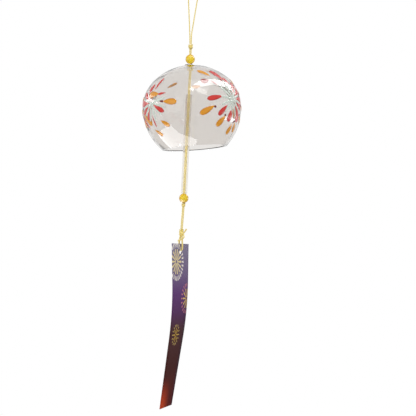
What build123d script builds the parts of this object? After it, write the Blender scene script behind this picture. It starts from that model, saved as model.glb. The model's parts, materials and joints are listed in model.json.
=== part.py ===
from build123d import *
import math
import os

# A small glass wind bell on one doubled cord. A glass tube hangs inside the bell and
# strikes its rim when the wind pushes the paper strip below it. Millimetres, +Z up. The
# origin is the inside top of the hanging loop, and X runs across the front. Everything
# hangs in one upright plane, and each stretch leans a little, as a breeze holds it.

# Cord, folded double, so that two strands lie side by side
cord_diameter = 1.0
strand_gap = 0.04
hook_diameter = 7.5
loop_length = 46.0
loop_lean = -3.6
parting_rise = 6.5
parting_bend = 12.0

# Knots, each a stack of wraps with a rounded lower end
wrap_height = 0.95
knot_dome_radius = 1.4
top_knot_width = 3.9
top_knot_wraps = 3
crown_knot_width = 5.0
crown_knot_wraps = 2
bead_knot_width = 3.4
bead_knot_wraps = 2
strip_knot_width = 3.6
strip_knot_wraps = 5

# Play between pieces that move on each other, and how far a cut runs past its work
running_play = 0.3
bead_lift = 0.5
cut_overrun = 1.0

# Beads
bead_diameter = 7.6
bead_bore = 2.4
bead_bore_round = 0.25

# Bell, hung off centre because the cord lies against one side of its crown hole
neck_length = 12.75
neck_lean = -2.0
bell_diameter = 79.2
shoulder_height = 34.0
shoulder_turn = 48.0
skirt_height = 32.2
mouth_diameter = 52.0
glass_wall = 1.4
crown_hole = 4.6
lip_width = 0.9
lip_height = 0.8
crown_offset = 1.1
bell_lean = 4.2

# Clapper tube on its line
clapper_lean = -2.8
tube_drop = 19.9
tube_length = 79.0
tube_diameter = 5.0
tube_bore = 3.2
tube_end_round = 0.4

# Line down to the paper, and the turn of cord through the paper's hole
strip_cord_lean = -4.5
strip_cord_length = 18.9
strip_loop_drop = 12.4
strip_loop_lean = 3.5
paper_play = 0.9

# Paper strip, curled away from the wind in its middle and a little twisted
paper_width = 35.0
paper_length = 132.0
paper_thickness = 0.45
paper_hole = 4.0
paper_hole_drop = 6.5
paper_yaw = 69.0
paper_twist = 7.0
paper_straight = 30.0
paper_bend = 47.0
paper_lean = 9.3
paper_station_shares = (0, 0.12, 0.23, 0.31, 0.4, 0.49, 0.58, 0.7, 0.85, 1)

# Routes of the cord's two cut ends, from inside the last knot, seen from the knot's top
upper_tail_route = ((0.9, -0.7, -4.0), (2.4, -1.1, -3.0), (3.9, -1.2, 0.3))
lower_tail_route = ((0.5, -0.6, -2.2), (2.4, -3.6, -4.4), (2.5, -3.8, -7.6), (-2.2, -2.9, -9.7))

# Worked out from the sizes above
cord_radius = cord_diameter / 2
strand_offset = (cord_diameter + strand_gap) / 2
bead_radius = bead_diameter / 2
bead_half_height = math.sqrt(bead_radius**2 - (bead_bore / 2) ** 2)
bell_radius = bell_diameter / 2
hole_radius = crown_hole / 2
mouth_step = (bell_diameter - mouth_diameter) / 2
skirt_radius = (mouth_step**2 + skirt_height**2) / (2 * mouth_step)
turn_out = math.cos(math.radians(shoulder_turn))
turn_up = math.sin(math.radians(shoulder_turn))
turn_spread = turn_out + turn_up - 1
shoulder_radius = (shoulder_height * turn_out - bell_radius * (1 - turn_up)) / turn_spread
crown_radius = (bell_radius * turn_up - shoulder_height * (1 - turn_out)) / turn_spread


def knot_height(wraps):
    return wraps * wrap_height + knot_dome_radius


def hanging(point, lean):
    """The level plane at a point of a line that hangs leaning, its foot to the right for a
    positive angle. The plane's Z axis runs up the line."""
    angle = math.radians(lean)
    right = (math.cos(angle), 0, math.sin(angle))
    return Plane(origin=point, x_dir=right, z_dir=(-math.sin(angle), 0, math.cos(angle)))


def upright(place):
    """The drawing plane that stands on a level plane, with the line's axis as its Y axis."""
    return Plane(origin=place.origin, x_dir=place.x_dir, z_dir=-place.y_dir)


def spin(section, place):
    """Turns a profile that was drawn on upright(place) round the line."""
    revolve(section.sketch, axis=Axis(place.origin, place.z_dir))


def strand(route):
    """Cord along a route."""
    with BuildSketch(Plane(origin=route.line @ 0, z_dir=route.line % 0)) as section:
        Circle(cord_radius)
    sweep(section.sketch, path=route.line)


def strand_pair(place, length):
    """Two straight strands that run down the line from a plane."""
    with BuildSketch(place) as section:
        with Locations((-strand_offset, 0), (strand_offset, 0)):
            Circle(cord_radius)
    extrude(section.sketch, amount=-length)


def clear_dome(dome_centre):
    """Trims a cord to swing round the rounded end of the knot above it."""
    with Locations(dome_centre):
        Sphere(knot_dome_radius + running_play, mode=Mode.SUBTRACT)


def knot(place, width, wraps):
    """A tight knot that hangs from a plane: a flat top that the cord enters, a stack of
    wraps, and a rounded end that the next cord swings round."""
    foot = -wraps * wrap_height
    valley = width / 2 - cord_radius / 2
    with BuildSketch(upright(place)) as section:
        with BuildLine():
            Line((0, 0), (valley, 0))
            for wrap in range(wraps):
                top = -wrap * wrap_height
                crest = (width / 2, top - wrap_height / 2)
                ThreePointArc((valley, top), crest, (valley, top - wrap_height))
            Line((valley, foot), (knot_dome_radius, foot))
            CenterArc((0, foot), knot_dome_radius, 0, -90)
            Line((0, foot - knot_dome_radius), (0, 0))
        make_face()
    spin(section, place)


def bead(centre):
    """A round bead on the line, with its bore's edges rounded."""
    half_angle = math.degrees(math.acos(bead_bore / bead_diameter))
    with BuildSketch(upright(centre)) as section:
        with BuildLine():
            outside = CenterArc((0, 0), bead_radius, -half_angle, 2 * half_angle)
            Line(outside @ 1, outside @ 0)
        make_face()
        fillet(section.vertices(), bead_bore_round)
    spin(section, centre)


def hairpin(place, reach, bend_radius):
    """A strand that runs from a knot, round what it holds and back. The plane's origin is
    the middle of the bend and its Y axis points away from the knot, which is the reach
    away. Both runs leave the bend along its tangents."""
    lean = math.asin(bend_radius / math.hypot(reach, strand_offset))
    lean -= math.atan2(strand_offset, reach)
    side = (bend_radius * math.cos(lean), -bend_radius * math.sin(lean))
    with BuildLine(place) as route:
        Line((-strand_offset, -reach), (-side[0], side[1]))
        ThreePointArc((-side[0], side[1]), (0, bend_radius), side)
        Line(side, (strand_offset, -reach))
    strand(route)
    return sum(edge.length for edge in route.edges())


def cord_tail(place, route_points):
    """A cut end of the cord, with each bend as wide as its two runs allow."""
    points = [Vector(*point) for point in route_points]
    runs = [after - before for before, after in zip(points, points[1:])]
    radii = []
    for run, next_run in zip(runs, runs[1:]):
        half_turn = math.radians(run.get_angle(next_run)) / 2
        radii.append(0.45 * min(run.length, next_run.length) / math.tan(half_turn))
    with BuildLine(place) as route:
        FilletPolyline(*route_points, radius=radii)
    strand(route)
    print("tail bend radii", [round(radius, 2) for radius in radii])


def curl(distance):
    """Where the paper is at a distance down from its top edge, and how much it leans."""
    lean = math.radians(paper_lean)
    bend_radius = paper_bend / lean
    angle = min(max(distance - paper_straight, 0) / bend_radius, lean)
    tail = max(distance - paper_straight - paper_bend, 0)
    out = bend_radius * (1 - math.cos(angle)) + tail * math.sin(angle)
    down = min(distance, paper_straight) + bend_radius * math.sin(angle) + tail * math.cos(angle)
    return out, down, math.degrees(angle)


# Levels and lines, from the hook down
hook_middle = Vector(0, 0, -hook_diameter / 2)
parting_level = parting_rise - loop_length
parting_reach = (hook_middle.Z - parting_level) / math.cos(math.radians(loop_lean))
loop_line = hanging(hook_middle, loop_lean)
cord_x = loop_line.offset(-parting_reach).origin.X
top_knot_place = Plane(origin=(cord_x, 0, -loop_length), z_dir=(0, 0, 1))
neck_top = top_knot_place.offset(-top_knot_wraps * wrap_height).origin
neck_line = hanging(neck_top, neck_lean)
crown_drop = knot_dome_radius + neck_length
crown_middle = neck_line.offset(-crown_drop).origin
bell_place = hanging(crown_middle - Vector(crown_offset, 0, 0), bell_lean)
upper_bead_place = neck_line.offset(lip_height + bead_lift + bead_half_height - crown_drop)
crown_knot_top = neck_line.offset(-crown_drop - glass_wall - running_play).origin
crown_knot_place = hanging(crown_knot_top, bell_lean)
crown_dome = crown_knot_place.offset(-crown_knot_wraps * wrap_height).origin

clapper_line = hanging(crown_dome, clapper_lean)
tube_top = clapper_line.offset(-tube_drop)
lower_bead_drop = tube_drop + tube_length + running_play + bead_half_height
bead_knot_drop = lower_bead_drop + bead_half_height + running_play
bead_knot_place = clapper_line.offset(-bead_knot_drop)
bead_dome = bead_knot_place.offset(-bead_knot_wraps * wrap_height).origin

strip_line = hanging(bead_dome, strip_cord_lean)
strip_knot_place = strip_line.offset(-strip_cord_length)
strip_dome = strip_knot_place.offset(-strip_knot_wraps * wrap_height).origin
paper_loop_radius = paper_thickness / 2 + paper_play + cord_radius
paper_hang = math.sqrt((paper_hole / 2 - running_play - cord_radius) ** 2 - strand_offset**2)
yaw = math.radians(paper_yaw)
paper_width_way = Vector(math.cos(yaw), math.sin(yaw), 0)
loop_turn = math.radians(strip_loop_lean)
loop_down = Vector(-math.sin(yaw) * math.sin(loop_turn), math.cos(yaw) * math.sin(loop_turn), -math.cos(loop_turn))
paper_hold = strip_dome + loop_down * strip_loop_drop
paper_top = paper_hold + Vector(0, 0, paper_hole_drop - paper_hang)
paper_place = Plane(origin=paper_top, x_dir=paper_width_way, z_dir=(0, 0, 1))

# Hanging loop. Its two strands rise side by side from the knot, part, and go round the hook
# with the bend's tangents as their runs.
with BuildPart() as hanger_loop:
    loop_bend = hook_diameter / 2 + cord_radius
    loop_plane = upright(Plane(origin=(0, 0, 0), z_dir=(0, 0, 1)))
    loop_runs = []
    for side in (-1, 1):
        strand_x = cord_x + side * strand_offset
        part_drop = parting_level - hook_middle.Z
        spread = math.acos(loop_bend / math.hypot(strand_x, part_drop))
        heading = math.atan2(part_drop, strand_x) + side * spread
        bend_x = loop_bend * math.cos(heading)
        bend_end = (bend_x, hook_middle.Z + loop_bend * math.sin(heading))
        loop_runs.append(((strand_x, -loop_length), (strand_x, parting_level), bend_end))
    with BuildLine(loop_plane) as loop_route:
        left_run = FilletPolyline(*loop_runs[0], radius=parting_bend)
        ThreePointArc(left_run @ 1, (0, cord_radius), loop_runs[1][-1])
        FilletPolyline(*reversed(loop_runs[1]), radius=parting_bend)
    strand(loop_route)
    loop_run = sum(edge.length for edge in loop_route.edges())

# Knot that closes the loop
with BuildPart() as top_knot:
    knot(top_knot_place, top_knot_width, top_knot_wraps)

# Neck, the two strands from there to the crown
with BuildPart() as neck_cord:
    strand_pair(neck_line, crown_drop + glass_wall)
    clear_dome(neck_top)

# Upper bead, on the neck
with BuildPart() as upper_bead:
    bead(upper_bead_place)

# Bell, blown with a wide shoulder and drawn in to its mouth, with a ground rim. Its outside
# is a flat crown arc, a tighter shoulder arc and the skirt's arc, each tangent to the next.
with BuildPart() as glass_bell:
    crown_centre = (0, -crown_radius)
    shoulder_centre = (bell_radius - shoulder_radius, -shoulder_height)
    skirt_centre = (bell_radius - skirt_radius, -shoulder_height)
    lip_radius = hole_radius + lip_width
    lip_spring = lip_height - lip_width / 2
    lip_crest = (hole_radius + lip_width / 2, lip_height)
    inner_crown = crown_radius - glass_wall
    inner_skirt = skirt_radius - glass_wall
    lip_angle = math.degrees(math.acos(lip_radius / crown_radius))
    hole_angle = math.degrees(math.acos(hole_radius / inner_crown))
    rim_angle = math.degrees(math.asin(skirt_height / skirt_radius))
    inner_rim_angle = math.degrees(math.asin(skirt_height / inner_skirt))
    with BuildSketch(upright(bell_place)) as bell_section:
        with BuildLine():
            CenterArc(shoulder_centre, shoulder_radius, 0, shoulder_turn)
            outside = CenterArc(crown_centre, crown_radius, shoulder_turn, lip_angle - shoulder_turn)
            Line(outside @ 1, (lip_radius, lip_spring))
            ThreePointArc((lip_radius, lip_spring), lip_crest, (hole_radius, lip_spring))
            inside = CenterArc(crown_centre, inner_crown, shoulder_turn, hole_angle - shoulder_turn)
            Line((hole_radius, lip_spring), inside @ 1)
            CenterArc(shoulder_centre, shoulder_radius - glass_wall, 0, shoulder_turn)
            inner_side = CenterArc(skirt_centre, inner_skirt, 0, -inner_rim_angle)
            outer_side = CenterArc(skirt_centre, skirt_radius, 0, -rim_angle)
            Line(inner_side @ 1, outer_side @ 1)
        make_face()
    spin(bell_section, bell_place)

# Knot inside the crown, wider than its hole
with BuildPart() as crown_knot:
    knot(crown_knot_place, crown_knot_width, crown_knot_wraps)

# Clapper line, through the tube and the lower bead
with BuildPart() as clapper_cord:
    strand_pair(clapper_line, bead_knot_drop)
    clear_dome(crown_dome)

# Clapper tube, cut from glass cane, its ends melted round
with BuildPart() as clapper_tube:
    with BuildSketch(tube_top):
        Circle(tube_diameter / 2)
        Circle(tube_bore / 2, mode=Mode.SUBTRACT)
    extrude(amount=-tube_length)
    outer_edges = clapper_tube.edges().filter_by(GeomType.CIRCLE).sort_by(SortBy.RADIUS)[-2:]
    fillet(outer_edges, tube_end_round)

# Lower bead, which the tube rests on
with BuildPart() as lower_bead:
    bead(clapper_line.offset(-lower_bead_drop))

# Knot under the lower bead
with BuildPart() as bead_knot:
    knot(bead_knot_place, bead_knot_width, bead_knot_wraps)

# Line down to the paper
with BuildPart() as strip_cord:
    strand_pair(strip_line, strip_cord_length - running_play)
    clear_dome(bead_dome)

# Long knot above the paper, with the cord's two cut ends
with BuildPart() as strip_knot:
    knot(strip_knot_place, strip_knot_width, strip_knot_wraps)
    cord_tail(strip_knot_place, upper_tail_route)
    cord_tail(strip_knot_place, lower_tail_route)

# The doubled cord's turn through the hole in the paper
with BuildPart() as strip_loop:
    bend_drop = strip_loop_drop - paper_loop_radius
    bend_middle = strip_dome + loop_down * bend_drop
    turn_place = Plane(bend_middle, x_dir=paper_width_way.cross(loop_down), z_dir=-paper_width_way)
    for side in (-strand_offset, strand_offset):
        turn_run = hairpin(turn_place.offset(side), bend_drop, paper_loop_radius)
    clear_dome(strip_dome)

# Paper strip, lofted down its curl, with a punched hole
with BuildPart() as paper_strip:
    for share in paper_station_shares:
        out, down, lean = curl(share * paper_length)
        turn = Rot(X=lean) * Rot(Z=share * paper_twist)
        with BuildSketch(Plane(paper_place.location * Pos(Y=out, Z=-down) * turn)):
            Rectangle(paper_width, paper_thickness)
    loft()
    hole_place = Plane(origin=paper_top - Vector(0, 0, paper_hole_drop), z_dir=paper_place.y_dir)
    with BuildSketch(hole_place):
        Circle(paper_hole / 2)
    extrude(amount=paper_thickness + cut_overrun, both=True, mode=Mode.SUBTRACT)

os.makedirs("parts", exist_ok=True)
nodes = {
    "hanger_loop": hanger_loop,
    "top_knot": top_knot,
    "neck_cord": neck_cord,
    "upper_bead": upper_bead,
    "glass_bell": glass_bell,
    "crown_knot": crown_knot,
    "clapper_cord": clapper_cord,
    "clapper_tube": clapper_tube,
    "lower_bead": lower_bead,
    "bead_knot": bead_knot,
    "strip_cord": strip_cord,
    "strip_knot": strip_knot,
    "strip_loop": strip_loop,
    "paper_strip": paper_strip,
}
for name, piece in nodes.items():
    piece.part.label = name
    export_step(piece.part, f"parts/{name}.step")

# Each tube's volume beside its section times its length, and the bends' radii
section = math.pi * cord_radius**2
print("hanger loop volume", round(hanger_loop.part.volume, 2), round(section * loop_run, 2))
print("hanger loop bend radii", loop_bend, parting_bend, "length", round(loop_run, 2))
print("strip loop volume", round(strip_loop.part.volume, 2), "before trimming", round(2 * section * turn_run, 2))
print("strip loop bend radius", round(paper_loop_radius, 3))
print("clapper cord volume", round(clapper_cord.part.volume, 2), round(2 * section * bead_knot_drop, 2))
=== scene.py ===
import bmesh
import bpy
import json
import math
import random
from mathutils import Matrix, Vector


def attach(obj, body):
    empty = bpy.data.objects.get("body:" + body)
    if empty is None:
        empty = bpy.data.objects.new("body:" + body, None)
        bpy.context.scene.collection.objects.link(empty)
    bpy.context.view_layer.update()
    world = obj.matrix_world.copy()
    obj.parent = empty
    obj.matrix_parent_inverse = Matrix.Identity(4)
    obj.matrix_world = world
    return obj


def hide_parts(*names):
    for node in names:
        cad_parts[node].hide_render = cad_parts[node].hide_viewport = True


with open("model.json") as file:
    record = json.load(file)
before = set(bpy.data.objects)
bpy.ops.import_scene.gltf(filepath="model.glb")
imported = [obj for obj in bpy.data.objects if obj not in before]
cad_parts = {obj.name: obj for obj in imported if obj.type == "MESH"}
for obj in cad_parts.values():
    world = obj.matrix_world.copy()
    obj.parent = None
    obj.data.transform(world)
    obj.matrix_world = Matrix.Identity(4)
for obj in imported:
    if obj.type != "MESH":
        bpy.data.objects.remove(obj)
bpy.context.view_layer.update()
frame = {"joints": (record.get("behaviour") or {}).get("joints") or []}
joints = {joint["name"]: joint for joint in frame["joints"]}
mm = 0.001

# Studio: a white surround, a pale floor far below the hanging bell, long lights that show only
# as reflections in the glass, and two soft lights that carry the exposure. The camera, the
# glass and the reflections see the surround as white, and its light is a pale grey.
photo_width_mm = 332.8
camera_distance_mm = 1250
camera_x_mm = 11.66
camera_level_mm = -226.7
view_centre_mm = -177.1
sensor_mm = 36
near_clip_mm = 10
floor_level_mm = -1500
floor_radius_mm = 4000
floor_steps = 96
floor_white = "#f6f5f3"
floor_glow = 0.5
surround_white = "#ffffff"
room_grey = "#d6d2ce"
bell_middle = Vector((-1.35, 0, -97)) * mm


def linear(code):
    """A colour written as sRGB hex, as linear RGBA."""
    shares = [int(code[i : i + 2], 16) / 255 for i in (1, 3, 5)]
    light = [s / 12.92 if s <= 0.04045 else ((s + 0.055) / 1.055) ** 2.4 for s in shares]
    return (*light, 1)


def add_node(tree, kind, inputs=(), **settings):
    """A node with its settings, its values and its links."""
    node = tree.nodes.new(kind)
    for name, value in settings.items():
        setattr(node, name, value)
    for name, value in dict(inputs).items():
        if isinstance(value, bpy.types.NodeSocket):
            tree.links.new(value, node.inputs[name])
        else:
            node.inputs[name].default_value = value
    return node


def new_material(name):
    """A material and its empty tree."""
    material = bpy.data.materials.new(name)
    material.use_nodes = True
    material.node_tree.nodes.clear()
    return material, material.node_tree


def new_piece(name, mesh, body, slot, *materials):
    """A finished piece at the origin, riding on its body."""
    mesh.name = name
    piece = bpy.data.objects.new(name, mesh)
    bpy.context.scene.collection.objects.link(piece)
    for material in materials:
        mesh.materials.append(material)
    if body:
        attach(piece, body)
    return piece


def share_seen(tree):
    """1 for what the camera, glass and reflections see, and 0 for the light that is given."""
    ray = add_node(tree, "ShaderNodeLightPath")
    rays = {0: ray.outputs["Is Camera Ray"], 1: ray.outputs["Is Glossy Ray"]}
    reflected = add_node(tree, "ShaderNodeMath", rays, operation="MAXIMUM")
    rays = {0: reflected.outputs[0], 1: ray.outputs["Is Transmission Ray"]}
    return add_node(tree, "ShaderNodeMath", rays, operation="MAXIMUM").outputs[0]


scene = bpy.context.scene
scene.view_settings.view_transform = "Standard"

camera = bpy.data.objects.new("camera", bpy.data.cameras.new("camera"))
scene.collection.objects.link(camera)
camera.location = Vector((camera_x_mm, -camera_distance_mm, camera_level_mm)) * mm
camera.rotation_euler = (math.radians(90), 0, 0)
camera.data.sensor_width = sensor_mm
camera.data.lens = sensor_mm * camera_distance_mm / photo_width_mm
camera.data.shift_y = (view_centre_mm - camera_level_mm) / photo_width_mm
camera.data.clip_start = near_clip_mm * mm
scene.camera = camera

world = bpy.data.worlds.new("studio")
scene.world = world
world.use_nodes = True
studio = world.node_tree
studio.nodes.clear()
room = add_node(studio, "ShaderNodeBackground", {"Color": linear(room_grey), "Strength": 1})
white = add_node(studio, "ShaderNodeBackground", {"Color": linear(surround_white), "Strength": 1})
layers = {0: share_seen(studio), 1: room.outputs[0], 2: white.outputs[0]}
surround = add_node(studio, "ShaderNodeMixShader", layers)
add_node(studio, "ShaderNodeOutputWorld", {"Surface": surround.outputs[0]})

# Matt wall paint has no gloss, so it only catches light and a faint shadow. Half of what is
# seen of it is its plain colour, so it stays nearly as pale as the surround.
floor_paint, tree = new_material("painted studio floor")
paint = add_node(tree, "ShaderNodeBsdfDiffuse", {"Color": linear(floor_white)})
glow = add_node(tree, "ShaderNodeEmission", {"Color": linear(floor_white), "Strength": 1})
paler = add_node(tree, "ShaderNodeMath", {0: share_seen(tree), 1: floor_glow}, operation="MULTIPLY")
layers = {0: paler.outputs[0], 1: paint.outputs[0], 2: glow.outputs[0]}
lit_paint = add_node(tree, "ShaderNodeMixShader", layers)
add_node(tree, "ShaderNodeOutputMaterial", {"Surface": lit_paint.outputs[0]})

shape = bmesh.new()
bmesh.ops.create_circle(shape, cap_ends=True, segments=floor_steps, radius=floor_radius_mm * mm)
bmesh.ops.translate(shape, verts=shape.verts, vec=(0, 0, floor_level_mm * mm))
floor_mesh = bpy.data.meshes.new("floor")
shape.to_mesh(floor_mesh)
shape.free()
new_piece("floor", floor_mesh, None, None, floor_paint)


def soft_light(name, towards, distance_mm, size_mm, along, radiance, in_reflections_only):
    """A rectangular light that faces the bell from a direction, its long side along another."""
    lamp = bpy.data.objects.new(name, bpy.data.lights.new(name, "AREA"))
    scene.collection.objects.link(lamp)
    out = Vector(towards).normalized()
    side = (Vector(along) - Vector(along).dot(out) * out).normalized()
    turn = Matrix((side, out.cross(side), out)).transposed().to_4x4()
    lamp.matrix_world = Matrix.Translation(bell_middle + out * distance_mm * mm) @ turn
    lamp.data.shape = "RECTANGLE"
    lamp.data.size = size_mm[0] * mm
    lamp.data.size_y = size_mm[1] * mm
    lamp.data.energy = radiance * math.pi * lamp.data.size * lamp.data.size_y
    lamp.visible_camera = False
    lamp.visible_diffuse = not in_reflections_only
    lamp.visible_transmission = False


# The arch on the glass, its bright foot, the two edge lines and the thin streak are reflections
soft_light("window", (0.49, -0.09, 0.87), 900, (2100, 300), (0.82, 1.38, -0.26), 9, True)
soft_light("low_panel", (-0.42, 0.0, -0.9), 400, (520, 430), (1, 0.1, -0.4), 5, True)
soft_light("left_edge", (-0.93, 0.28, 0.24), 700, (60, 700), (0.25, 0.1, -0.96), 7, True)
soft_light("right_edge", (0.93, 0.3, -0.2), 700, (50, 620), (-0.2, 0.1, -0.97), 6, True)
soft_light("back_streak", (-0.35, 0.35, -0.87), 500, (30, 420), (0.8, 0.1, -0.55), 8, True)
soft_light("overhead", (0.25, -0.55, 1.0), 1300, (900, 900), (1, 0, 0), 1.55, False)
soft_light("front_fill", (-0.8, -1.0, 0.1), 1500, (900, 900), (0, 0, 1), 1.05, False)

# Hanging loop: three-ply rayon twine, folded double over a hook that is 7.5 mm thick. One such
# cord runs down the whole bell, so every stretch is two strands side by side, each laid up
# from three plies. The loop's two strands part above the knot, which hangs a little aside.
cord_mm = 1.0
ply_share = 0.535
ply_lay_mm = 3.4
line_step_mm = 0.28
fray_share = 1.3
fibre_mm = 0.16
fibre_relief_mm = 0.05
cord_light = "#fff3a8"
cord_dark = "#efd565"
loop_route_mm = (
    (-2.77, -46),
    (-2.77, -39.5),
    (-3.04, -33),
    (-4.18, -5.4),
    (-4.31, -2.45),
    (-2.57, -0.05),
    (0.28, 0.74),
    (3.01, -0.41),
    (4.44, -3),
    (3.94, -5.92),
    (-0.63, -33),
    (-1.73, -39.5),
    (-1.73, -46),
)

# Rayon has a slight silky sheen, and its fibres show as fine lines and tones along the plies.
# They are drawn coarser than the real ones, which are too fine to show.
rayon, tree = new_material("rayon twine")
where = add_node(tree, "ShaderNodeTexCoord")
fibre_inputs = {"Vector": where.outputs["Object"], "Scale": 1 / (fibre_mm * mm), "Detail": 2}
fibres = add_node(tree, "ShaderNodeTexNoise", fibre_inputs)
tones = {"Factor": fibres.outputs["Fac"], "A": linear(cord_dark), "B": linear(cord_light)}
tone = add_node(tree, "ShaderNodeMix", tones, data_type="RGBA")
heights = {"Height": fibres.outputs["Fac"], "Distance": fibre_relief_mm * mm, "Strength": 0.5}
relief = add_node(tree, "ShaderNodeBump", heights)
finish = {
    "Base Color": tone.outputs["Result"],
    "Roughness": 0.55,
    "Sheen Weight": 0.25,
    "Normal": relief.outputs["Normal"],
}
shade = add_node(tree, "ShaderNodeBsdfPrincipled", finish)
add_node(tree, "ShaderNodeOutputMaterial", {"Surface": shade.outputs[0]})


def spline_points(points):
    """The smooth line that a route's points pull into place, as closely spaced points."""
    curve = bpy.data.curves.new("route", "CURVE")
    curve.dimensions = "3D"
    curve.resolution_u = 24
    spline = curve.splines.new("NURBS")
    spline.points.add(len(points) - 1)
    for place, point in zip(spline.points, points):
        place.co = (*point, 1)
    spline.order_u = 3
    spline.use_endpoint_u = True
    carrier = bpy.data.objects.new("route", curve)
    mesh = bpy.data.meshes.new_from_object(carrier)
    line = [vertex.co.copy() for vertex in mesh.vertices]
    bpy.data.meshes.remove(mesh)
    bpy.data.objects.remove(carrier)
    bpy.data.curves.remove(curve)
    return line


def even_points(line, step):
    """The same line, in steps of one length."""
    lengths = [0]
    for a, b in zip(line, line[1:]):
        lengths.append(lengths[-1] + (b - a).length)
    count = max(2, round(lengths[-1] / step))
    spaced = []
    k = 0
    for i in range(count + 1):
        distance = lengths[-1] * i / count
        while k < len(line) - 2 and lengths[k + 1] < distance:
            k += 1
        part = (distance - lengths[k]) / max(lengths[k + 1] - lengths[k], 1e-9)
        spaced.append(line[k].lerp(line[k + 1], min(max(part, 0), 1)))
    return spaced


def plies(line, turn, fray):
    """Three lines that wind round a strand's own line, as its plies do, and part towards its
    end where that is cut and frays."""
    line = even_points(line, line_step_mm * mm)
    across = (line[1] - line[0]).orthogonal().normalized()
    wound = [[], [], []]
    gone = 0
    for i, point in enumerate(line):
        ahead = (line[min(i + 1, len(line) - 1)] - line[max(i - 1, 0)]).normalized()
        across = (across - across.dot(ahead) * ahead).normalized()
        up = ahead.cross(across)
        gone += (point - line[max(i - 1, 0)]).length
        for k in range(3):
            angle = turn + 2 * math.pi * (k / 3 + gone / (ply_lay_mm * mm))
            reach = cord_mm * mm * (1 - ply_share) / 2 * (1 + fray * (i / len(line)) ** 2)
            wound[k].append(point + reach * (math.cos(angle) * across + math.sin(angle) * up))
    return wound


def cord_mesh(strands, frayed=()):
    """A mesh of strands, each laid up from its plies. The frayed ones end in the open."""
    curve = bpy.data.curves.new("cord", "CURVE")
    curve.dimensions = "3D"
    curve.bevel_depth = cord_mm * mm * ply_share / 2
    curve.bevel_resolution = 2
    curve.use_fill_caps = True
    for k, strand in enumerate([*strands, *frayed]):
        for ply in plies(strand, k, fray_share if k >= len(strands) else 0):
            spline = curve.splines.new("POLY")
            spline.points.add(len(ply) - 1)
            for place, point in zip(spline.points, ply):
                place.co = (*point, 1)
    carrier = bpy.data.objects.new("cord", curve)
    mesh = bpy.data.meshes.new_from_object(carrier)
    mesh.polygons.foreach_set("use_smooth", [True] * len(mesh.polygons))
    bpy.data.objects.remove(carrier)
    bpy.data.curves.remove(curve)
    return mesh


loop_line = spline_points([(x * mm, 0, z * mm) for x, z in loop_route_mm])
hanging_loop = new_piece("hanging_loop", cord_mesh([loop_line]), "hanger", "cord", rayon)
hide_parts("hanger_loop")

# Loop knot: it closes the hanging loop. Here, as in the other knots, the doubled cord is wound
# round itself and pulled tight, so the wraps lie against each other, and one turn of it
# crosses them on the front.
knot_rise_mm = 0.95
wrap_steps = 14
wrap_overrun = 0.9
wrap_top_mm = 0.35
wrap_waver_mm = 0.06
waver_pace = 5
foot_turns = 0.35
foot_narrowing = 0.5
crossing_proud = 0.28
loop_knot_mm = 3.9
loop_knot_wraps = 3
# The crossing turn's route, in shares of the knot's radius across and out, and of its height
crossing_route = (
    (-0.7, -0.1, -0.32),
    (-0.8, -0.72, -0.36),
    (-0.1, -1.08, -0.6),
    (0.72, -0.8, -0.84),
    (0.55, -0.5, -0.95),
)


def knot_lines(place, width_mm, wraps):
    """Wraps round the core from the top down, drawn in at the foot, and a turn across them."""
    radius = width_mm / 2 - cord_mm / 2
    coil = []
    for i in range(int(wrap_steps * (wraps + wrap_overrun))):
        turns = i / wrap_steps
        foot = min(max(0, turns - wraps + foot_turns), 1)
        waver = wrap_waver_mm * math.sin(waver_pace * turns)
        reach = radius * (1 - foot_narrowing * foot**1.5) + waver
        angle = 2 * math.pi * turns
        level = -(wrap_top_mm + turns * knot_rise_mm)
        point = Vector((reach * math.cos(angle) * mm, reach * math.sin(angle) * mm, level * mm))
        coil.append(place @ point)
    over = radius + crossing_proud * cord_mm
    height = wraps * knot_rise_mm
    cross = [place @ Vector((x * over * mm, y * over * mm, z * height * mm)) for x, y, z in crossing_route]
    return [coil, spline_points(cross)]


loop_foot = Vector(((loop_line[0].x + loop_line[-1].x) / 2, 0, loop_line[0].z))
loop_knot_lines = knot_lines(Matrix.Translation(loop_foot), loop_knot_mm, loop_knot_wraps)
loop_knot = new_piece("loop_knot", cord_mesh(loop_knot_lines), "hanger", "cord", rayon)
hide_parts("top_knot")

# Neck: the two strands between the loop knot and the crown, which pass through the upper bead
# and the hole in the glass and run on into the crown knot.
strand_apart_mm = 1.04
neck_mm = 15.55


def place_on(origin, up):
    """The level place at a point of a leaning line: X across the front, Z up the line."""
    up = Vector(up).normalized()
    right = Vector((up.z, 0, -up.x)).normalized()
    turn = Matrix((right, up.cross(right), up)).transposed().to_4x4()
    return Matrix.Translation(origin) @ turn


def pair_lines(place, bottom_mm):
    """The two strands of a straight stretch, side by side from a place down to a level."""
    ends = [Vector((side * strand_apart_mm / 2 * mm, 0, z * mm)) for side in (-1, 1) for z in (0, bottom_mm)]
    ends = [place @ end for end in ends]
    return [ends[:2], ends[2:]]


neck_axis = Vector(joints["cord_twist"]["axis"])
neck_top = Vector(joints["cord_twist"]["pos_m"])
neck_lines = pair_lines(place_on(neck_top, neck_axis), -neck_mm)
neck = new_piece("neck_strands", cord_mesh(neck_lines), "neck", "cord", rayon)
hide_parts("neck_cord")

# Crown knot: tied in the same cord inside the glass. It is wider than the hole in the crown, so
# the bell hangs on it.
crown_knot_mm = 5.0
short_wraps = 2
bell_axis = Vector(joints["clapper_turn"]["axis"])
crown_dome = Vector(joints["clapper_turn"]["pos_m"])
crown_knot_place = place_on(crown_dome + bell_axis * short_wraps * knot_rise_mm * mm, bell_axis)
crown_knot_lines = knot_lines(crown_knot_place, crown_knot_mm, short_wraps)
crown_knot = new_piece("knot_in_crown", cord_mesh(crown_knot_lines), "crown_knot", "cord", rayon)
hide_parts("crown_knot")

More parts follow.
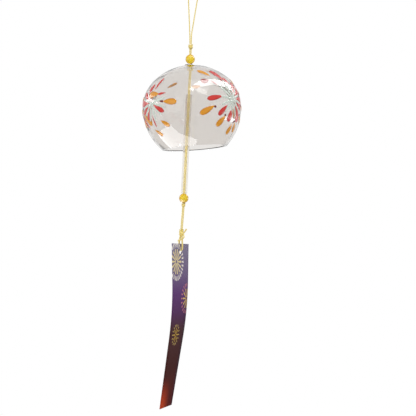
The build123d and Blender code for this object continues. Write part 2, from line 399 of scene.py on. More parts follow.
# Clapper line: the two strands that run on from the crown knot, through the glass tube and the
# lower bead, to a small knot that keeps both of them up.
bead_knot_mm = 3.4
clapper_axis = Vector(joints["tube_slide"]["axis"])
bead_dome = Vector(joints["strip_cord_swing"]["pos_m"])
bead_knot_place = place_on(bead_dome + clapper_axis * short_wraps * knot_rise_mm * mm, clapper_axis)
clapper_drop = (crown_dome - bead_knot_place.translation).length
clapper_lines = pair_lines(place_on(crown_dome, clapper_axis), -clapper_drop / mm)
clapper_strands = new_piece("clapper_strands", cord_mesh(clapper_lines), "clapper", "cord", rayon)
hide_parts("clapper_cord")
bead_knot_lines = knot_lines(bead_knot_place, bead_knot_mm, short_wraps)
bead_knot = new_piece("knot_under_bead", cord_mesh(bead_knot_lines), "clapper", "cord", rayon)
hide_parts("bead_knot")

# Line to the paper: the two strands from the knot under the bead down to the long knot, into
# which they run a little way.
into_knot_mm = 0.3
strip_axis = Vector(joints["strip_turn"]["axis"])
long_knot_top = Vector(joints["strip_turn"]["pos_m"])
strip_drop = (bead_dome - long_knot_top).length
strip_lines = pair_lines(place_on(bead_dome, strip_axis), -strip_drop / mm - into_knot_mm)
strip_strands = new_piece("strip_strands", cord_mesh(strip_lines), "strip_line", "cord", rayon)
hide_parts("strip_cord")

# Long knot above the paper: the cord's two ends are tied off here and cut. A short end stands
# up beside the line, and a longer one curls down across the front, and both of them fray.
long_knot_mm = 3.8
long_knot_wraps = 5
upper_tail_mm = ((0.9, -0.7, -4.0), (2.4, -1.1, -3.0), (3.9, -1.2, 0.3))
lower_tail_mm = ((0.5, -0.6, -2.2), (2.4, -3.6, -4.4), (2.5, -3.8, -7.6), (-2.2, -2.9, -9.7))
long_knot_place = place_on(long_knot_top, strip_axis)
tails = []
for tail_mm in (upper_tail_mm, lower_tail_mm):
    tails.append(spline_points([long_knot_place @ (Vector(point) * mm) for point in tail_mm]))
long_knot_mesh = cord_mesh(knot_lines(long_knot_place, long_knot_mm, long_knot_wraps), frayed=tails)
long_knot = new_piece("knot_above_paper", long_knot_mesh, "strip_knot", "cord", rayon)
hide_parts("strip_knot")

# Turn through the paper: both strands of the cord pass through the punched hole and back up to
# the long knot, and the paper hangs in this bend.
paper_thickness_mm = 0.45
paper_play_mm = 0.9
turn_bend_mm = paper_thickness_mm / 2 + paper_play_mm + cord_mm / 2


def hairpin_route(place, reach_mm, bend_mm):
    """One strand's route down from a knot, round a bend at the place's origin and back. The
    points beside the bend make an even round of it."""
    near = strand_apart_mm / 2
    corner = bend_mm * math.tan(math.radians(22.5))
    half = [(near, -reach_mm), (bend_mm, -2 * bend_mm), (bend_mm, 0), (bend_mm, corner), (corner, bend_mm)]
    route = half + [(-x, y) for x, y in reversed(half)]
    return [place @ Vector((x * mm, 0, y * mm)) for x, y in route]


paper_width_way = Vector(joints["strip_flap"]["axis"])
paper_out = Vector(joints["strip_pivot"]["axis"])
long_knot_dome = Vector(joints["strip_flap"]["pos_m"])
hole_top = Vector(joints["strip_pivot"]["pos_m"])
turn_reach_mm = (long_knot_dome - hole_top).length / mm - turn_bend_mm
turn_down = (hole_top - long_knot_dome).normalized()
turn_axes = Matrix((paper_width_way.cross(turn_down), paper_width_way, turn_down)).transposed().to_4x4()
turn_lines = []
for side in (-1, 1):
    middle = hole_top - turn_down * turn_bend_mm * mm + paper_width_way * side * strand_apart_mm / 2 * mm
    route = hairpin_route(Matrix.Translation(middle) @ turn_axes, turn_reach_mm, turn_bend_mm)
    turn_lines.append(spline_points(route))
paper_turn = new_piece("turn_through_paper", cord_mesh(turn_lines), "strip_loop", "cord", rayon)
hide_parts("strip_loop")

# Beads: amber glass wound round a rod and fire polished, so they are smooth balls with a plain
# bore. The upper one lies loose on the crown, and the lower one stands on its knot and carries
# the tube.
bead_mm = 7.6
bead_bore_mm = 2.4
bore_edge_mm = 0.3
bore_step_mm = 0.02
bead_steps = 96
bead_arc_steps = 28
bead_heart = "#ffe128"
# The bead's edge colour is painted shade for its dim rim
bead_rim_shade = "#d4850e"

# Amber glass is glossy. Its colour is painted darker towards the edge of the bead, as painted
# shade for the dim rim that a glass ball shows.
amber_glass, tree = new_material("amber glass")
edge = add_node(tree, "ShaderNodeLayerWeight", {"Blend": 0.35})
tones = {"Factor": edge.outputs["Facing"], "A": linear(bead_heart), "B": linear(bead_rim_shade)}
depth = add_node(tree, "ShaderNodeMix", tones, data_type="RGBA")
finish = {
    "Base Color": depth.outputs["Result"],
    "Roughness": 0.05,
    "IOR": 1.5,
    "Transmission Weight": 0.06,
}
shade = add_node(tree, "ShaderNodeBsdfPrincipled", finish)
add_node(tree, "ShaderNodeOutputMaterial", {"Surface": shade.outputs[0]})


def turned_mesh(profile_mm, place, steps):
    """A closed profile of radius and height, turned full circle round a place's Z axis."""
    shape = bmesh.new()
    corners = [shape.verts.new((radius * mm, 0, level * mm)) for radius, level in profile_mm]
    edges = [shape.edges.new(pair) for pair in zip(corners, corners[1:] + corners[:1])]
    bmesh.ops.spin(
        shape,
        geom=corners + edges,
        cent=(0, 0, 0),
        axis=(0, 0, 1),
        angle=math.tau,
        steps=steps,
        use_merge=True,
    )
    bmesh.ops.remove_doubles(shape, verts=shape.verts, dist=0.001 * mm)
    bmesh.ops.recalc_face_normals(shape, faces=shape.faces)
    bmesh.ops.transform(shape, matrix=place, verts=shape.verts)
    for face in shape.faces:
        face.smooth = True
    mesh = bpy.data.meshes.new("turned")
    shape.to_mesh(mesh)
    shape.free()
    return mesh


def arc_points(centre, radius, start, end, steps):
    """Points along an arc, by its angles in degrees."""
    angles = [math.radians(start + (end - start) * i / steps) for i in range(steps + 1)]
    return [(centre[0] + radius * math.cos(a), centre[1] + radius * math.sin(a)) for a in angles]


bead_radius_mm = bead_mm / 2
bore_angle = math.degrees(math.acos(bead_bore_mm / bead_mm))
bore_half_mm = bead_radius_mm * math.sin(math.radians(bore_angle)) - bore_edge_mm
bore_radius_mm = bead_bore_mm / 2 - bore_step_mm
bead_profile = arc_points((0, 0), bead_radius_mm, -bore_angle, bore_angle, bead_arc_steps)
bead_profile += [(bore_radius_mm, bore_half_mm), (bore_radius_mm, -bore_half_mm)]
upper_place = place_on(Vector(joints["upper_bead_slide"]["pos_m"]), neck_axis)
upper_mesh = turned_mesh(bead_profile, upper_place, bead_steps)
upper_bead = new_piece("amber_bead_upper", upper_mesh, "upper_bead", "bead", amber_glass)
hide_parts("upper_bead")
lower_place = place_on(Vector(joints["lower_bead_spin"]["pos_m"]), clapper_axis)
lower_mesh = turned_mesh(bead_profile, lower_place, bead_steps)
lower_bead = new_piece("amber_bead_lower", lower_mesh, "lower_bead", "bead", amber_glass)
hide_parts("lower_bead")

# Bell: clear soda glass, blown free hand and cracked off. A flat crown arc, a tighter shoulder
# arc and a skirt that draws in to the mouth meet without a corner, the hole in the crown has a
# melted lip, and the rim is ground flat.
bell_radius_mm = 39.6
shoulder_mm = 34.0
shoulder_turn = 48.0
skirt_mm = 32.2
mouth_radius_mm = 26.0
wall_mm = 1.4
crown_hole_mm = 4.6
lip_width_mm = 0.9
lip_height_mm = 0.8
crown_drop_mm = 14.15
crown_aside_mm = 1.1
bell_steps = 160
skirt_steps = 30
shoulder_steps = 24
crown_steps = 20
lip_steps = 10
# The bell glass's grey tint and its darker edge colour are painted shade, for the dimming and dark outlines
# that reflections of its surroundings give
glass_grey_shade = "#e9e6e3"
glass_edge_shade = "#766a5f"
glass_edge_from = 0.7
glass_edge_to = 0.98
bell_waves_mm = 0.5
wave_mm = 15
shadow_tint = "#f7f8f7"

mouth_step_mm = bell_radius_mm - mouth_radius_mm
skirt_radius_mm = (mouth_step_mm**2 + skirt_mm**2) / (2 * mouth_step_mm)
skirt_middle_mm = bell_radius_mm - skirt_radius_mm
hole_radius_mm = crown_hole_mm / 2
lip_radius_mm = hole_radius_mm + lip_width_mm
turn_out = math.cos(math.radians(shoulder_turn))
turn_up = math.sin(math.radians(shoulder_turn))
round_mm = (shoulder_mm * turn_out - bell_radius_mm * (1 - turn_up)) / (turn_out + turn_up - 1)
crown_mm = (bell_radius_mm * turn_up - shoulder_mm * (1 - turn_out)) / (turn_out + turn_up - 1)
crown_middle = (0, -crown_mm)
round_middle = (bell_radius_mm - round_mm, -shoulder_mm)
skirt_middle = (skirt_middle_mm, -shoulder_mm)
lip_middle = (hole_radius_mm + lip_width_mm / 2, lip_height_mm - lip_width_mm / 2)
lip_angle = math.degrees(math.acos(lip_radius_mm / crown_mm))
hole_angle = math.degrees(math.acos(hole_radius_mm / (crown_mm - wall_mm)))
rim_angle = math.degrees(math.asin(skirt_mm / skirt_radius_mm))
inner_rim_angle = math.degrees(math.asin(skirt_mm / (skirt_radius_mm - wall_mm)))
inner_skirt_mm = skirt_radius_mm - wall_mm

# Close rings on both sides of the rim's edges keep the ground face crisp under smooth shading
rim_near = 0.2
rim_shares = (0.12, 0.88)
bell_profile = arc_points(skirt_middle, skirt_radius_mm, -rim_angle, rim_near - rim_angle, 1)
bell_profile += arc_points(skirt_middle, skirt_radius_mm, rim_near - rim_angle, 0, skirt_steps)[1:]
bell_profile += arc_points(round_middle, round_mm, 0, shoulder_turn, shoulder_steps)[1:]
bell_profile += arc_points(crown_middle, crown_mm, shoulder_turn, lip_angle, crown_steps)[1:]
bell_profile += arc_points(lip_middle, lip_width_mm / 2, 0, 180, lip_steps)
bell_profile += arc_points(crown_middle, crown_mm - wall_mm, hole_angle, shoulder_turn, crown_steps)
bell_profile += arc_points(round_middle, round_mm - wall_mm, shoulder_turn, 0, shoulder_steps)[1:]
bell_profile += arc_points(skirt_middle, inner_skirt_mm, 0, rim_near - inner_rim_angle, skirt_steps)[1:]
bell_profile += arc_points(skirt_middle, inner_skirt_mm, rim_near - inner_rim_angle, -inner_rim_angle, 1)[1:]
rim_inside, rim_outside = Vector(bell_profile[-1]), Vector(bell_profile[0])
bell_profile += [tuple(rim_inside.lerp(rim_outside, share)) for share in rim_shares]
crown_top = neck_top - neck_axis * crown_drop_mm * mm
bell_place = place_on(crown_top - Vector((crown_aside_mm, 0, 0)) * mm, bell_axis)


def glass_material(name, clear, edge, edge_from, waves_mm):
    """Soda glass is clear with a faint tint, and painted shade darkens it towards its edges, in
    place of the dark outlines that reflections of its surroundings give. Blown glass waves a
    little. Light passes to what it holds, so its shadow is light."""
    material, tree = new_material(name)
    facing = add_node(tree, "ShaderNodeLayerWeight", {"Blend": 0.5})
    tint = add_node(tree, "ShaderNodeValToRGB", {"Fac": facing.outputs["Facing"]})
    tint.color_ramp.elements[0].position = edge_from
    tint.color_ramp.elements[0].color = linear(clear)
    tint.color_ramp.elements[1].position = glass_edge_to
    tint.color_ramp.elements[1].color = linear(edge)
    where = add_node(tree, "ShaderNodeTexCoord")
    swell_inputs = {"Vector": where.outputs["Object"], "Scale": 1 / (wave_mm * mm), "Detail": 1}
    swell = add_node(tree, "ShaderNodeTexNoise", swell_inputs)
    heights = {"Height": swell.outputs["Fac"], "Distance": waves_mm * mm, "Strength": 1}
    relief = add_node(tree, "ShaderNodeBump", heights)
    finish = {
        "Base Color": tint.outputs["Color"],
        "Roughness": 0.0,
        "IOR": 1.5,
        "Transmission Weight": 1,
        "Normal": relief.outputs["Normal"],
    }
    glass = add_node(tree, "ShaderNodeBsdfPrincipled", finish)
    passing = add_node(tree, "ShaderNodeBsdfTransparent", {"Color": linear(shadow_tint)})
    ray = add_node(tree, "ShaderNodeLightPath")
    layers = {0: ray.outputs["Is Shadow Ray"], 1: glass.outputs[0], 2: passing.outputs[0]}
    surface = add_node(tree, "ShaderNodeMixShader", layers)
    add_node(tree, "ShaderNodeOutputMaterial", {"Surface": surface.outputs[0]})
    return material


bell_glass = glass_material("blown soda glass", glass_grey_shade, glass_edge_shade, glass_edge_from, bell_waves_mm)
bell_mesh = turned_mesh(bell_profile, bell_place, bell_steps)
bell = new_piece("blown_bell", bell_mesh, "bell", "bell_glass", bell_glass)
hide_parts("glass_bell")

# Painted bursts: enamel strokes laid on the outside of the glass with a loaded brush, so each is
# a drop that starts thin and ends wide and thick. Red drops are the inner ring of a burst, amber
# drops with a dark dot the outer one, and pale mint lines run out from its middle.
stroke_rise_mm = 0.22
stroke_tip = 0.03
stroke_lead = 0.12
stroke_fullness = 1.2
drop_blunt = 0.48
dot_blunt = 0.1
line_blunt = 0.25


def enamel(name, middle, edge):
    """Brushed enamel is glossy, darker towards the edges of its stroke, and lets a little light
    through."""
    material, tree = new_material(name)
    where = add_node(tree, "ShaderNodeUVMap")
    parts = add_node(tree, "ShaderNodeSeparateXYZ", {"Vector": where.outputs["UV"]})
    aside = add_node(tree, "ShaderNodeMath", {0: parts.outputs["Y"], 1: 2}, operation="POWER")
    tones = {"Factor": aside.outputs[0], "A": linear(middle), "B": linear(edge)}
    tone = add_node(tree, "ShaderNodeMix", tones, data_type="RGBA")
    finish = {
        "Base Color": tone.outputs["Result"],
        "Roughness": 0.22,
        "IOR": 1.5,
        "Transmission Weight": 0.12,
    }
    shade = add_node(tree, "ShaderNodeBsdfPrincipled", finish)
    add_node(tree, "ShaderNodeOutputMaterial", {"Surface": shade.outputs[0]})
    return material


enamels = {
    "red": enamel("red enamel", "#e4322a", "#bf1818"),
    "amber": enamel("amber enamel", "#f5a71c", "#d08408"),
    "mint": enamel("mint enamel", "#e6f3ec", "#cfe5da"),
    "dark": enamel("dark red enamel", "#7e1a1c", "#5c0f14"),
}
enamel_slots = {colour: slot for slot, colour in enumerate(enamels)}


def on_glass(towards, rise_mm):
    """The point of the bell's outside in a direction from its widest level's middle, where
    the ray meets the arc of the skirt, of the shoulder or of the crown."""
    towards = towards.normalized()
    flat = math.hypot(towards.x, towards.y)
    level = towards.z
    if level < 0:
        centre, radius = (skirt_middle_mm, 0), skirt_radius_mm
    elif level * turn_out * round_mm < flat * turn_up * round_mm + level * (round_mm - bell_radius_mm):
        centre, radius = (bell_radius_mm - round_mm, 0), round_mm
    else:
        centre, radius = (0, shoulder_mm - crown_mm), crown_mm
    along = centre[0] * flat + centre[1] * level
    aside = centre[0] * level - centre[1] * flat
    reach = along + math.sqrt(radius**2 - aside**2)
    return Vector((0, 0, -shoulder_mm)) + towards * (reach + rise_mm)


def on_ball(azimuth, height):
    """A direction from the middle, by its angle round from the front and its angle up."""
    a, h = math.radians(azimuth), math.radians(height)
    return Vector((math.sin(a) * math.cos(h), -math.cos(a) * math.cos(h), math.sin(h)))


def from_burst(middle, turn, reach_mm):
    """The direction that lies a distance over the glass from a burst's middle."""
    east = Vector((0, 0, 1)).cross(middle).normalized()
    heading = math.cos(turn) * east + math.sin(turn) * middle.cross(east)
    bow = reach_mm / bell_radius_mm
    return math.cos(bow) * middle + math.sin(bow) * heading


def brush_stroke(shape, uv, start, end, width_mm, colour, blunt=drop_blunt):
    """One drop of enamel on the glass, from its thin start to its wide end. Its UV map says
    how far along and how far from its middle line a point is."""
    made = bmesh.ops.create_uvsphere(shape, u_segments=14, v_segments=6, radius=1)["verts"]
    round_way = start.rotation_difference(end)
    side = start.cross(end).normalized()
    along = {}
    for vertex in made:
        x, y, z = vertex.co
        along[vertex] = ((1 + x) / 2, abs(y))
        share = (1 - stroke_lead) / 2 + (1 + stroke_lead) / 2 * x
        middle = Matrix.Rotation(round_way.angle * share, 3, round_way.axis) @ start
        aside = y * width_mm / 2 * max((1 + x) / 2, stroke_tip) ** blunt * stroke_fullness
        vertex.co = on_glass(middle + side * aside / bell_radius_mm, z * stroke_rise_mm) * mm
    for face in {face for vertex in made for face in vertex.link_faces}:
        face.material_index = enamel_slots[colour]
        face.smooth = True
        for loop in face.loops:
            loop[uv].uv = along[loop.vert]


# Single strokes as the photograph shows them: colour, then azimuth and height in degrees of the
# thin start and of the wide end, then width in mm
single_strokes = (
    ("red", (38, 6), (18.5, 3), 4.6),
    ("red", (44, -5), (32, -15.5), 4.6),
    ("red", (53.5, -9), (48, -23), 5.6),
    ("red", (63, -7), (70, -23), 7.5),
    ("amber", (25.5, -5.5), (9, -13.5), 5.4),
    ("amber", (42, -17), (30.5, -28), 5.4),
    ("amber", (57.5, -26), (52.5, -38), 5.2),
    ("dark", (29.5, -5.5), (26.5, -6), 2.4),
    ("dark", (43, -14), (42, -16.5), 2.2),
    ("dark", (60, -21.5), (60.5, -24), 2.2),
    ("red", (71, 20.5), (71.5, 13.5), 2.6),
    ("red", (74, 13), (74.5, 7), 2.4),
    ("red", (75.5, 3.5), (78.5, -3), 2.6),
    ("red", (-49, 2), (-33.5, -7), 4.6),
    ("amber", (-32.5, 4.5), (-16.5, 2.5), 5.6),
    ("dark", (-38.5, 5.5), (-33, 4.5), 2),
    ("red", (-60, 5), (-84, 9), 7.5),
    ("amber", (-74.5, -5), (-57.5, -20), 5.6),
    ("red", (-83.5, -5.5), (-66, -23), 1.8),
    ("amber", (-39.5, -17), (-29.5, -24), 4.2),
    ("amber", (-55, -26.5), (-45, -34), 4),
    ("red", (-53, -10), (-50.5, -23), 1.6),
    ("amber", (-43, 14.5), (-59.5, 15), 6.5),
    ("red", (-31.5, 14.5), (-42.5, 14), 2.2),
    ("red", (-49, 21.5), (-41.5, 37.5), 3),
    ("red", (-55, 28.5), (-61.5, 19), 6),
    ("amber", (-142, 35.5), (-157.5, 42), 4.4),
    ("amber", (30, 35), (15, 47.5), 5.6),
    ("red", (49.5, 29), (39.5, 46), 6.8),
    ("red", (58, 21.5), (53, 32), 4.2),
    ("red", (144.5, 43.5), (160.5, 41), 7),
    ("red", (134.5, 30), (139.5, 43), 3),
    ("amber", (165, 35), (178.5, 33), 5),
)
# Four bursts: the middle's azimuth and height, then the turns in degrees at which its other red
# drops, its other amber drops and its mint lines run out
bursts = (
    ((55.5, 3), (-56, -26, 4, 34, 64), (-71, -41, -11, 19, 49), range(19, 379, 30)),
    ((-52, 5), (146, 206, 236), (161, 191, 221), (-109, -79, -49, -19, 11, 161, 191, 221)),
    ((126, 25), (120, 150, 180, 210, 240), (105, 225, 255), range(45, 285, 30)),
    ((-126, 24), (-60, -30, 0), (-75, -45), range(-75, 15, 30)),
)
# Where a burst's strokes start and end from its middle, with the room that the hand varies in
red_start_mm, red_end_mm, red_width_mm = 6.8, (17.5, 19), 4.4
dot_start_mm, dot_end_mm, dot_width_mm = 17, 18.8, 2
amber_start_mm, amber_end_mm, amber_width_mm = 19.6, (27.5, 29), 5
line_start_mm, line_end_mm, line_width_mm = 1.2, (14, 17), 1.9
drop_waver = 3
line_waver = 2

shape = bmesh.new()
uv = shape.loops.layers.uv.new("UVMap")
for colour, start, end, width_mm in single_strokes:
    brush_stroke(shape, uv, on_ball(*start), on_ball(*end), width_mm, colour)
chance = random.Random(7)
for middle, reds, ambers, lines in bursts:
    middle = on_ball(*middle)
    for turn in reds:
        turn = math.radians(turn + chance.uniform(-drop_waver, drop_waver))
        start = from_burst(middle, turn, red_start_mm)
        end = from_burst(middle, turn, chance.uniform(*red_end_mm))
        brush_stroke(shape, uv, start, end, red_width_mm, "red")
    for turn in ambers:
        turn = math.radians(turn + chance.uniform(-drop_waver, drop_waver))
        start = from_burst(middle, turn, dot_start_mm)
        end = from_burst(middle, turn, dot_end_mm)
        brush_stroke(shape, uv, start, end, dot_width_mm, "dark", dot_blunt)
        start = from_burst(middle, turn, amber_start_mm)
        end = from_burst(middle, turn, chance.uniform(*amber_end_mm))
        brush_stroke(shape, uv, start, end, amber_width_mm, "amber")
    for turn in lines:
        turn = math.radians(turn + chance.uniform(-line_waver, line_waver))
        start = from_burst(middle, turn, line_start_mm)
        end = from_burst(middle, turn, chance.uniform(*line_end_mm))
        brush_stroke(shape, uv, start, end, line_width_mm, "mint", line_blunt)
bmesh.ops.transform(shape, matrix=bell_place, verts=shape.verts)
paint_mesh = bpy.data.meshes.new("painted_bursts")
shape.to_mesh(paint_mesh)
shape.free()
new_piece("painted_bursts", paint_mesh, "bell", "bell_glass", *enamels.values())

# Clapper: a length of clear drawn glass tube, cut and melted round at its ends. It hangs loose
# on the line, stands on the lower bead, and strikes the rim when the paper swings it.
tube_mm = 5.0
tube_bore_mm = 3.2
tube_length_mm = 79.0
tube_round_mm = 0.4
bore_round_mm = 0.15
tube_steps = 64
round_steps = 6
bore_round_steps = 4
# The tube's darker edge colour is painted shade, for the dark outlines that the glass shows along its sides
tube_clear = "#f6f3ec"
tube_edge_shade = "#a08d68"
tube_edge_from = 0.25
tube_waves_mm = 0.02

# Rings near both ends keep the long walls from shading as if they were round
tube_radius_mm = tube_mm / 2
tube_bore_radius_mm = tube_bore_mm / 2
round_at_mm = tube_radius_mm - tube_round_mm
bore_round_at_mm = tube_bore_radius_mm + bore_round_mm
upper_ring_mm = -tube_round_mm * 2
lower_ring_mm = tube_round_mm * 2 - tube_length_mm
tube_profile = [(tube_radius_mm, lower_ring_mm), (tube_radius_mm, upper_ring_mm)]
tube_profile += arc_points((round_at_mm, -tube_round_mm), tube_round_mm, 0, 90, round_steps)
tube_profile += arc_points((bore_round_at_mm, -bore_round_mm), bore_round_mm, 90, 180, bore_round_steps)
tube_profile += [(tube_bore_radius_mm, upper_ring_mm), (tube_bore_radius_mm, lower_ring_mm)]
bore_foot_middle = (bore_round_at_mm, bore_round_mm - tube_length_mm)
tube_profile += arc_points(bore_foot_middle, bore_round_mm, 180, 270, bore_round_steps)
tube_profile += arc_points((round_at_mm, tube_round_mm - tube_length_mm), tube_round_mm, -90, 0, round_steps)
tube_glass = glass_material("drawn soda glass", tube_clear, tube_edge_shade, tube_edge_from, tube_waves_mm)
tube_place = place_on(Vector(joints["tube_slide"]["pos_m"]), clapper_axis)
tube_mesh = turned_mesh(tube_profile, tube_place, tube_steps)
tube = new_piece("glass_clapper", tube_mesh, "clapper_tube", "tube_glass", tube_glass)
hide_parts("clapper_tube")

# Paper strip: thick satin card, cut, punched and printed on both sides, and curled by wind and
# damp. It catches the wind for the clapper. It hangs nearly edge-on, so its face is seen at a
# slant.
paper_width_mm = 35.0
paper_length_mm = 132.0
paper_hole_mm = 4.0
paper_hole_drop_mm = 6.5
hole_gap_mm = 0.3
paper_twist = 7.0
paper_straight_mm = 30.0
paper_bend_mm = 47.0
paper_lean = 9.3
paper_rows = 66
paper_columns = 8
hole_steps = 48
half_width_mm = paper_width_mm / 2
strand_room_mm = paper_hole_mm / 2 - hole_gap_mm - cord_mm / 2
hole_hang_mm = math.sqrt(strand_room_mm**2 - (strand_apart_mm / 2) ** 2)
paper_top = hole_top + Vector((0, 0, (paper_hole_drop_mm - hole_hang_mm) * mm))
paper_axes = Matrix((paper_width_way, -paper_out, Vector((0, 0, 1)))).transposed().to_4x4()
paper_place = Matrix.Translation(paper_top) @ paper_axes


def curled(across_mm, down_mm):
    """Where a point of the flat strip lies once it is curled and twisted."""
    lean = math.radians(paper_lean)
    bend_radius = paper_bend_mm / lean
    angle = min(max(down_mm - paper_straight_mm, 0) / bend_radius, lean)
    tail = max(down_mm - paper_straight_mm - paper_bend_mm, 0)
    out = bend_radius * (1 - math.cos(angle)) + tail * math.sin(angle)
    drop = min(down_mm, paper_straight_mm) + bend_radius * math.sin(angle) + tail * math.cos(angle)
    twist = Matrix.Rotation(math.radians(paper_twist * down_mm / paper_length_mm), 4, "Z")
    point = Matrix.Rotation(angle, 4, "X") @ twist @ Vector((across_mm, 0, 0))
    return (point + Vector((0, out, -drop))) * mm


shape = bmesh.new()
corners_mm = (
    (-half_width_mm, 0, 0),
    (half_width_mm, 0, 0),
    (half_width_mm, -paper_length_mm, 0),
    (-half_width_mm, -paper_length_mm, 0),
)
corners = [shape.verts.new(point) for point in corners_mm]
edges = [shape.edges.new(pair) for pair in zip(corners, corners[1:] + corners[:1])]
hole_place = Matrix.Translation((0, -paper_hole_drop_mm, 0))
ring = bmesh.ops.create_circle(shape, segments=hole_steps, radius=paper_hole_mm / 2, matrix=hole_place)
edges += list({edge for vertex in ring["verts"] for edge in vertex.link_edges})
bmesh.ops.triangle_fill(shape, use_beauty=True, edges=edges)
for k in range(1, paper_rows):
    geometry = shape.verts[:] + shape.edges[:] + shape.faces[:]
    level_mm = -paper_length_mm * k / paper_rows
    bmesh.ops.bisect_plane(shape, geom=geometry, plane_co=(0, level_mm, 0), plane_no=(0, 1, 0))
for k in range(1, paper_columns):
    geometry = shape.verts[:] + shape.edges[:] + shape.faces[:]
    across_mm = -half_width_mm + paper_width_mm * k / paper_columns
    bmesh.ops.bisect_plane(shape, geom=geometry, plane_co=(across_mm, 0, 0), plane_no=(1, 0, 0))
bmesh.ops.recalc_face_normals(shape, faces=shape.faces)
uv = shape.loops.layers.uv.new("UVMap")
for face in shape.faces:
    face.smooth = True
    for loop in face.loops:
        loop[uv].uv = (loop.vert.co.x / paper_width_mm + 0.5, -loop.vert.co.y / paper_length_mm)
for vertex in shape.verts:
    vertex.co = paper_place @ curled(vertex.co.x, -vertex.co.y)
paper_mesh = bpy.data.meshes.new("printed_strip")
shape.to_mesh(paper_mesh)
shape.free()

# The print runs down from a misty evening sky through violet to a dark red ground. Its colours
# stand at shares of the strip's length, and two soft patches lie over them: a darker one along
# the right edge and the last glow at the foot. Each is given by where it grows across and down,
# its strength at both limits across, and its colour.
evening_stops = (
    (0.0, "#8f8aa6"),
    (0.17, "#7d7096"),
    (0.3, "#684580"),
    (0.42, "#5d3b66"),
    (0.52, "#523639"),
    (0.75, "#482523"),
    (1.0, "#5a1a16"),
)
patches = (
    ((0.72, 1.0), (0.15, 0.6), (0.0, 0.6), "#2c1a2e"),
    ((0.1, 0.7), (0.8, 1.0), (1.0, 0.0), "#c2451f"),
)
# Three small fireworks: the middle across and down, the outer ring's radius, the number of inner
# rays, and the colours of the rays and of the ring of drops round them
fireworks = (
    ((8.8, 14.5), 15.5, 14, "#efe0ae", "#f8f4ee"),
    ((32.4, 44), 12.5, 10, "#e8c878", "#dc8f9c"),
    ((14.4, 73), 8.8, 8, "#e2bd55", "#e9cf7e"),
)
inner_ring = (0.08, 0.68)
outer_ring = (0.72, 1)
ray_width_share = 0.13
ray_start_share = 1 / 3
ray_blur_mm = 0.15
ray_start_blur_mm = 0.5
ray_end_blur_mm = 0.6
grains_per_mm = 3.0
grain_relief_mm = 0.01

# Satin card has a soft, nearly matt face with a fine grain, and hardly shines at a slant
satin_card, tree = new_material("printed satin card")
where = add_node(tree, "ShaderNodeUVMap")
sizes_mm = {0: where.outputs["UV"], 1: (paper_width_mm, paper_length_mm, 0)}
flat_mm = add_node(tree, "ShaderNodeVectorMath", sizes_mm, operation="MULTIPLY")
parts = add_node(tree, "ShaderNodeSeparateXYZ", {"Vector": where.outputs["UV"]})
evening = add_node(tree, "ShaderNodeValToRGB", {"Fac": parts.outputs["Y"]})
for i, (share, code) in enumerate(evening_stops):
    stop = evening.color_ramp.elements[i] if i < 2 else evening.color_ramp.elements.new(share)
    stop.position = share
    stop.color = linear(code)
card = evening.outputs["Color"]
for across_limits, down_limits, strengths, code in patches:
    limits = {
        "Value": parts.outputs["X"],
        "From Min": across_limits[0],
        "From Max": across_limits[1],
        "To Min": strengths[0],
        "To Max": strengths[1],
    }
    across = add_node(tree, "ShaderNodeMapRange", limits, interpolation_type="SMOOTHSTEP")
    limits = {"Value": parts.outputs["Y"], "From Min": down_limits[0], "From Max": down_limits[1]}
    down = add_node(tree, "ShaderNodeMapRange", limits, interpolation_type="SMOOTHSTEP")
    both = {0: across.outputs["Result"], 1: down.outputs["Result"]}
    share = add_node(tree, "ShaderNodeMath", both, operation="MULTIPLY")
    layers = {"Factor": share.outputs[0], "A": card, "B": linear(code)}
    card = add_node(tree, "ShaderNodeMix", layers, data_type="RGBA").outputs["Result"]


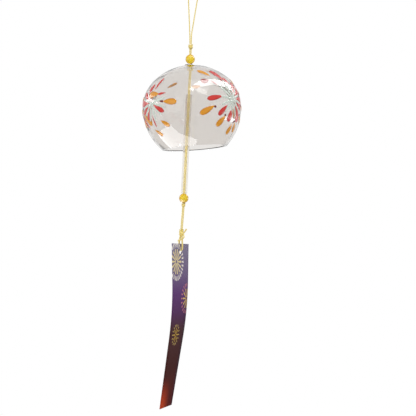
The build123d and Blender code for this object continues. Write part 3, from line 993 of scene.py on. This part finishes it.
def printed_rays(tree, below, middle_mm, rays, start_mm, end_mm, width_mm, code):
    """A ring of tapering rays round a point of the strip, printed over what is below."""
    places = {0: flat_mm.outputs[0], 1: (*middle_mm, 0)}
    apart = add_node(tree, "ShaderNodeVectorMath", places, operation="SUBTRACT").outputs[0]
    reach = add_node(tree, "ShaderNodeVectorMath", {0: apart}, operation="LENGTH").outputs["Value"]
    axes = add_node(tree, "ShaderNodeSeparateXYZ", {"Vector": apart})
    sides = {0: axes.outputs["Y"], 1: axes.outputs["X"]}
    angle = add_node(tree, "ShaderNodeMath", sides, operation="ARCTAN2").outputs[0]
    turns = add_node(tree, "ShaderNodeMath", {0: angle, 1: rays / math.tau}, operation="MULTIPLY").outputs[0]
    off_ray = add_node(tree, "ShaderNodeMath", {0: turns, 1: 0.5}, operation="PINGPONG").outputs[0]
    bow = add_node(tree, "ShaderNodeMath", {0: off_ray, 1: reach}, operation="MULTIPLY").outputs[0]
    aside = add_node(tree, "ShaderNodeMath", {0: bow, 1: math.tau / rays}, operation="MULTIPLY").outputs[0]
    taper = {
        "Value": reach,
        "From Min": start_mm,
        "From Max": end_mm,
        "To Min": width_mm / 2 * ray_start_share,
        "To Max": width_mm / 2,
    }
    half_ray = add_node(tree, "ShaderNodeMapRange", taper).outputs["Result"]
    inside = add_node(tree, "ShaderNodeMath", {0: half_ray, 1: aside}, operation="SUBTRACT").outputs[0]
    limits = {"Value": inside, "From Min": -ray_blur_mm, "From Max": ray_blur_mm}
    ink = add_node(tree, "ShaderNodeMapRange", limits, interpolation_type="SMOOTHSTEP").outputs["Result"]
    limits = {"Value": reach, "From Min": start_mm, "From Max": start_mm + ray_start_blur_mm}
    begun = add_node(tree, "ShaderNodeMapRange", limits, interpolation_type="SMOOTHSTEP").outputs["Result"]
    limits = {
        "Value": reach,
        "From Min": end_mm - ray_end_blur_mm,
        "From Max": end_mm,
        "To Min": 1,
        "To Max": 0,
    }
    ongoing = add_node(tree, "ShaderNodeMapRange", limits, interpolation_type="SMOOTHSTEP").outputs["Result"]
    share = add_node(tree, "ShaderNodeMath", {0: ink, 1: begun}, operation="MULTIPLY").outputs[0]
    share = add_node(tree, "ShaderNodeMath", {0: share, 1: ongoing}, operation="MULTIPLY").outputs[0]
    layers = {"Factor": share, "A": below, "B": linear(code)}
    return add_node(tree, "ShaderNodeMix", layers, data_type="RGBA").outputs["Result"]


for middle_mm, size_mm, rays, gold, pale in fireworks:
    width_mm = size_mm * ray_width_share
    start_mm, end_mm = (size_mm * share for share in inner_ring)
    card = printed_rays(tree, card, middle_mm, rays, start_mm, end_mm, width_mm, gold)
    start_mm, end_mm = (size_mm * share for share in outer_ring)
    card = printed_rays(tree, card, middle_mm, rays * 2, start_mm, end_mm, width_mm, pale)
grain_inputs = {"Vector": flat_mm.outputs[0], "Scale": grains_per_mm, "Detail": 2}
grain = add_node(tree, "ShaderNodeTexNoise", grain_inputs)
heights = {"Height": grain.outputs["Fac"], "Distance": grain_relief_mm * mm, "Strength": 0.4}
relief = add_node(tree, "ShaderNodeBump", heights)
finish = {
    "Base Color": card,
    "Roughness": 0.6,
    "Specular IOR Level": 0.01,
    "Normal": relief.outputs["Normal"],
}
shade = add_node(tree, "ShaderNodeBsdfPrincipled", finish)
add_node(tree, "ShaderNodeOutputMaterial", {"Surface": shade.outputs[0]})

paper = new_piece("printed_strip", paper_mesh, "paper_strip", "paper", satin_card)
thick = paper.modifiers.new("thickness", "SOLIDIFY")
thick.thickness = paper_thickness_mm * mm
thick.offset = 0
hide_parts("paper_strip")
